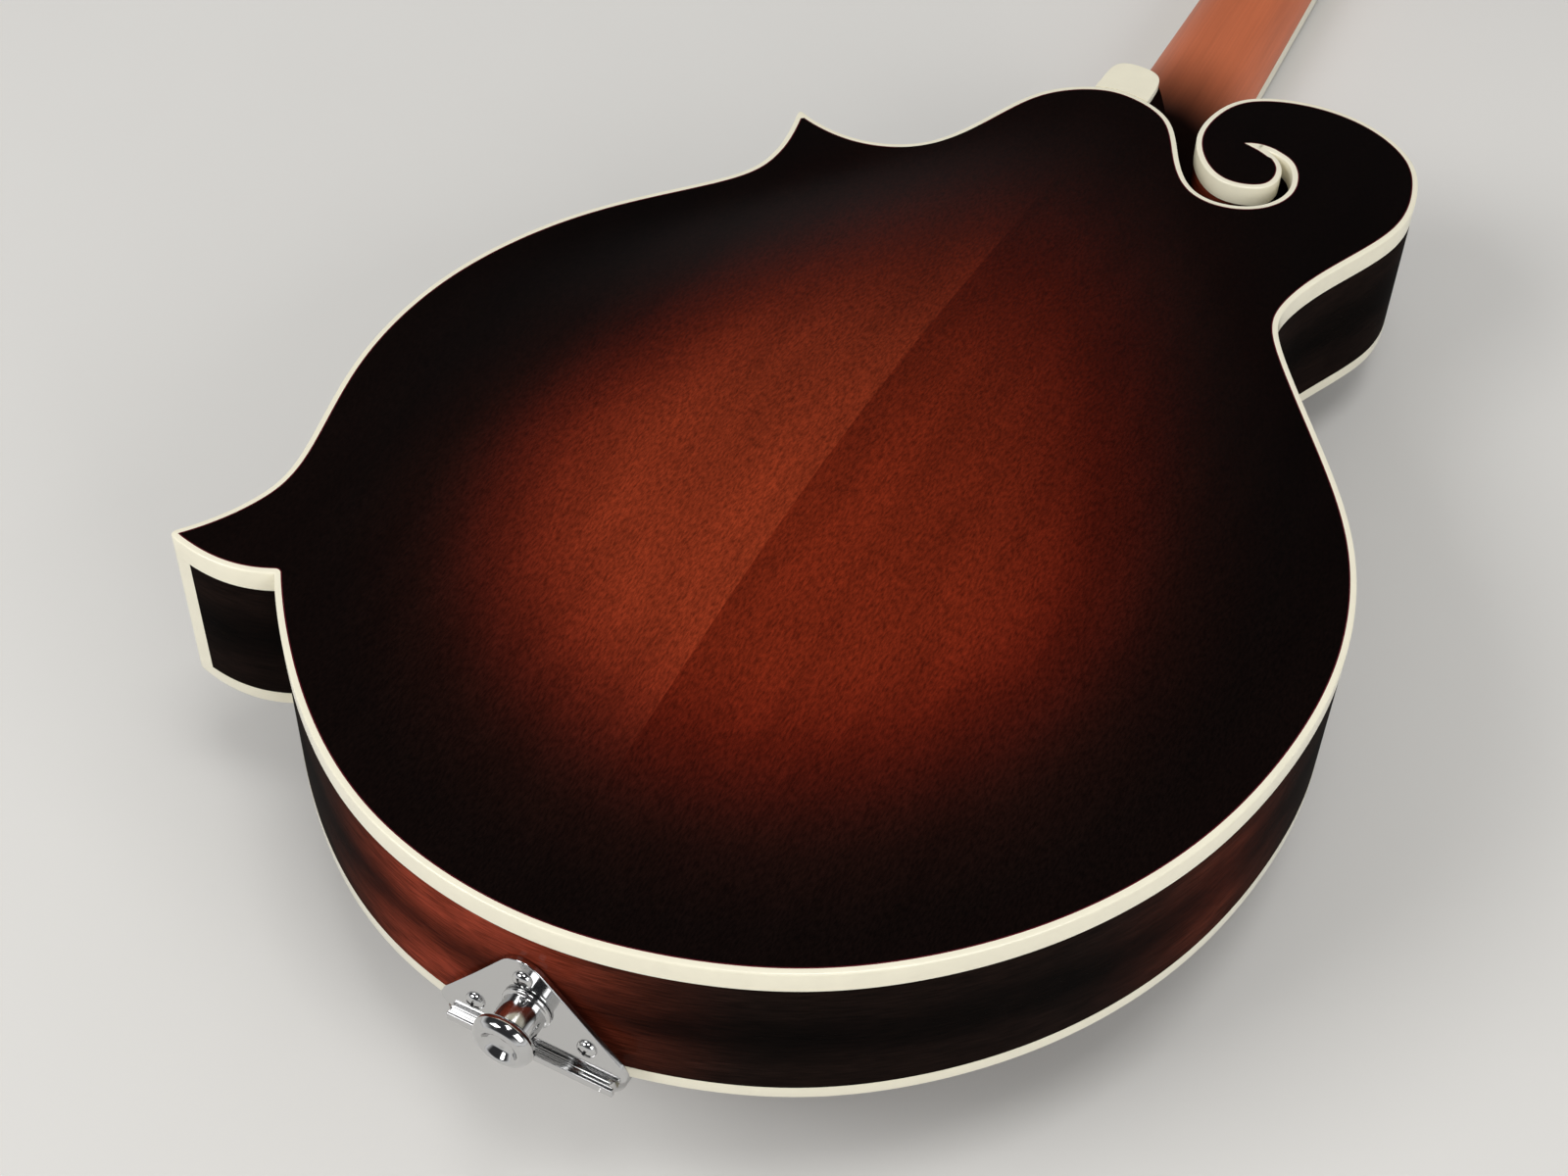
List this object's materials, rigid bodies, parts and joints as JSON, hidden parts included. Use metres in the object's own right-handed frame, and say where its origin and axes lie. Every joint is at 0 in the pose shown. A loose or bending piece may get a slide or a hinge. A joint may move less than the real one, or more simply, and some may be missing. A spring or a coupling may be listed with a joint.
{
  "type": "f-style mandolin",
  "caption": "Carved f-style mandolin lying face down, with scroll and points, arched back, bound edges, neck, headstock with geared tuners, adjustable bridge and tailpiece.",
  "frame": {"origin": "under the middle of the bounding box, on the surface that the strings rest on", "axes": "+Y from the tail to the headstock, along the strings; +Z out of the carved back, which faces up; +X to the scroll side"},
  "size_m": [0.2556, 0.7086, 0.0955],
  "materials": {
    "maple_sunburst": "gloss",
    "spruce_sunburst": "gloss",
    "maple_neck": "satin",
    "cream_binding": "gloss",
    "bare_wood": "matte",
    "ebony": "satin",
    "bone": "satin",
    "chrome": "polished",
    "steel": "satin",
    "bronze_string": "satin"
  },
  "bodies": {
    "instrument": {"back_binding": "cream_binding", "back_plate": "maple_sunburst", "bridge_base": "ebony", "bridge_stud_bass": "chrome", "bridge_stud_treble": "chrome", "end_pin": "chrome", "fingerboard": "ebony", "fingerboard_binding": "cream_binding", "head_block": "bare_wood", "headstock_veneer": "ebony", "heel_cap": "cream_binding", "lining_back": "bare_wood", "lining_top": "bare_wood", "lower_point_block": "bare_wood", "lower_point_cap": "cream_binding", "neck": "maple_neck", "nut": "bone", "rib": "maple_sunburst", "string_a1": "steel", "string_a2": "steel", "string_d1": "bronze_string", "string_d2": "bronze_string", "string_e1": "steel", "string_e2": "steel", "string_g1": "bronze_string", "string_g2": "bronze_string", "tail_block": "bare_wood", "tail_screw_apex": "chrome", "tail_screw_bass": "chrome", "tail_screw_treble": "chrome", "tailpiece_base": "chrome", "tone_bar_bass": "bare_wood", "tone_bar_treble": "bare_wood", "top_binding": "cream_binding", "top_plate": "spruce_sunburst", "truss_rod": "steel", "truss_rod_cover": "ebony", "tuner_plate_bass": "chrome", "tuner_plate_treble": "chrome", "upper_point_block": "bare_wood"},
    "saddle": {"bridge_saddle": "ebony"},
    "wheel_bass": {"thumbwheel_bass": "chrome"},
    "wheel_treble": {"thumbwheel_treble": "chrome"},
    "cover": {"tailpiece_cover": "chrome"},
    "post_bass_1": {"post_bass_1": "chrome"},
    "button_bass_1": {"worm_button_bass_1": "chrome"},
    "post_bass_2": {"post_bass_2": "chrome"},
    "button_bass_2": {"worm_button_bass_2": "chrome"},
    "post_bass_3": {"post_bass_3": "chrome"},
    "button_bass_3": {"worm_button_bass_3": "chrome"},
    "post_bass_4": {"post_bass_4": "chrome"},
    "button_bass_4": {"worm_button_bass_4": "chrome"},
    "post_treble_1": {"post_treble_1": "chrome"},
    "button_treble_1": {"worm_button_treble_1": "chrome"},
    "post_treble_2": {"post_treble_2": "chrome"},
    "button_treble_2": {"worm_button_treble_2": "chrome"},
    "post_treble_3": {"post_treble_3": "chrome"},
    "button_treble_3": {"worm_button_treble_3": "chrome"},
    "post_treble_4": {"post_treble_4": "chrome"},
    "button_treble_4": {"worm_button_treble_4": "chrome"}
  },
  "joints": [
    {"name": "saddle_slide", "type": "slide", "parent": "instrument", "child": "saddle", "axis": [0, 0, 1], "range_m": [0, 0.0015]},
    {"name": "wheel_bass_turn", "type": "hinge", "parent": "saddle", "child": "wheel_bass", "pos_m": [-0.02838, -0.16924, 0], "axis": [0, 0, 1], "range_deg": [0, 676]},
    {"name": "wheel_treble_turn", "type": "hinge", "parent": "saddle", "child": "wheel_treble", "pos_m": [0.02962, -0.16924, 0], "axis": [0, 0, 1], "range_deg": [0, 676]},
    {"name": "cover_slide", "type": "slide", "parent": "instrument", "child": "cover", "axis": [0, -0.9962, 0.0872], "range_m": [0, 0.03]},
    {"name": "button_bass_1_turn", "type": "hinge", "parent": "instrument", "child": "button_bass_1", "pos_m": [0.00062, 0.22451, 0.03525], "axis": [1, 0, 0], "continuous": true},
    {"name": "post_bass_1_turn", "type": "hinge", "parent": "instrument", "child": "post_bass_1", "pos_m": [-0.01838, 0.22095, 0.01622], "axis": [0, -0.2419, 0.9703], "continuous": true},
    {"name": "button_bass_2_turn", "type": "hinge", "parent": "instrument", "child": "button_bass_2", "pos_m": [0.00062, 0.24682, 0.04081], "axis": [1, 0, 0], "continuous": true},
    {"name": "post_bass_2_turn", "type": "hinge", "parent": "instrument", "child": "post_bass_2", "pos_m": [-0.01838, 0.24327, 0.02179], "axis": [0, -0.2419, 0.9703], "continuous": true},
    {"name": "button_bass_3_turn", "type": "hinge", "parent": "instrument", "child": "button_bass_3", "pos_m": [0.00062, 0.26914, 0.04638], "axis": [1, 0, 0], "continuous": true},
    {"name": "post_bass_3_turn", "type": "hinge", "parent": "instrument", "child": "post_bass_3", "pos_m": [-0.01838, 0.26559, 0.02735], "axis": [0, -0.2419, 0.9703], "continuous": true},
    {"name": "button_bass_4_turn", "type": "hinge", "parent": "instrument", "child": "button_bass_4", "pos_m": [0.00062, 0.29146, 0.05194], "axis": [1, 0, 0], "continuous": true},
    {"name": "post_bass_4_turn", "type": "hinge", "parent": "instrument", "child": "post_bass_4", "pos_m": [-0.01838, 0.28791, 0.03292], "axis": [0, -0.2419, 0.9703], "continuous": true},
    {"name": "button_treble_1_turn", "type": "hinge", "parent": "instrument", "child": "button_treble_1", "pos_m": [0.00062, 0.22451, 0.03525], "axis": [1, 0, 0], "continuous": true},
    {"name": "post_treble_1_turn", "type": "hinge", "parent": "instrument", "child": "post_treble_1", "pos_m": [0.01962, 0.22095, 0.01622], "axis": [0, -0.2419, 0.9703], "continuous": true},
    {"name": "button_treble_2_turn", "type": "hinge", "parent": "instrument", "child": "button_treble_2", "pos_m": [0.00062, 0.24682, 0.04081], "axis": [1, 0, 0], "continuous": true},
    {"name": "post_treble_2_turn", "type": "hinge", "parent": "instrument", "child": "post_treble_2", "pos_m": [0.01962, 0.24327, 0.02179], "axis": [0, -0.2419, 0.9703], "continuous": true},
    {"name": "button_treble_3_turn", "type": "hinge", "parent": "instrument", "child": "button_treble_3", "pos_m": [0.00062, 0.26914, 0.04638], "axis": [1, 0, 0], "continuous": true},
    {"name": "post_treble_3_turn", "type": "hinge", "parent": "instrument", "child": "post_treble_3", "pos_m": [0.01962, 0.26559, 0.02735], "axis": [0, -0.2419, 0.9703], "continuous": true},
    {"name": "button_treble_4_turn", "type": "hinge", "parent": "instrument", "child": "button_treble_4", "pos_m": [0.00062, 0.29146, 0.05194], "axis": [1, 0, 0], "continuous": true},
    {"name": "post_treble_4_turn", "type": "hinge", "parent": "instrument", "child": "post_treble_4", "pos_m": [0.01962, 0.28791, 0.03292], "axis": [0, -0.2419, 0.9703], "continuous": true}
  ],
  "couplings": [
    {"joint": "wheel_bass_turn", "follows": "saddle_slide", "rad_per_m": 7854},
    {"joint": "wheel_treble_turn", "follows": "saddle_slide", "rad_per_m": 7854},
    {"joint": "post_bass_1_turn", "follows": "button_bass_1_turn", "ratio": 0.083333},
    {"joint": "post_bass_2_turn", "follows": "button_bass_2_turn", "ratio": 0.083333},
    {"joint": "post_bass_3_turn", "follows": "button_bass_3_turn", "ratio": 0.083333},
    {"joint": "post_bass_4_turn", "follows": "button_bass_4_turn", "ratio": 0.083333},
    {"joint": "post_treble_1_turn", "follows": "button_treble_1_turn", "ratio": 0.083333},
    {"joint": "post_treble_2_turn", "follows": "button_treble_2_turn", "ratio": 0.083333},
    {"joint": "post_treble_3_turn", "follows": "button_treble_3_turn", "ratio": 0.083333},
    {"joint": "post_treble_4_turn", "follows": "button_treble_4_turn", "ratio": 0.083333}
  ]
}
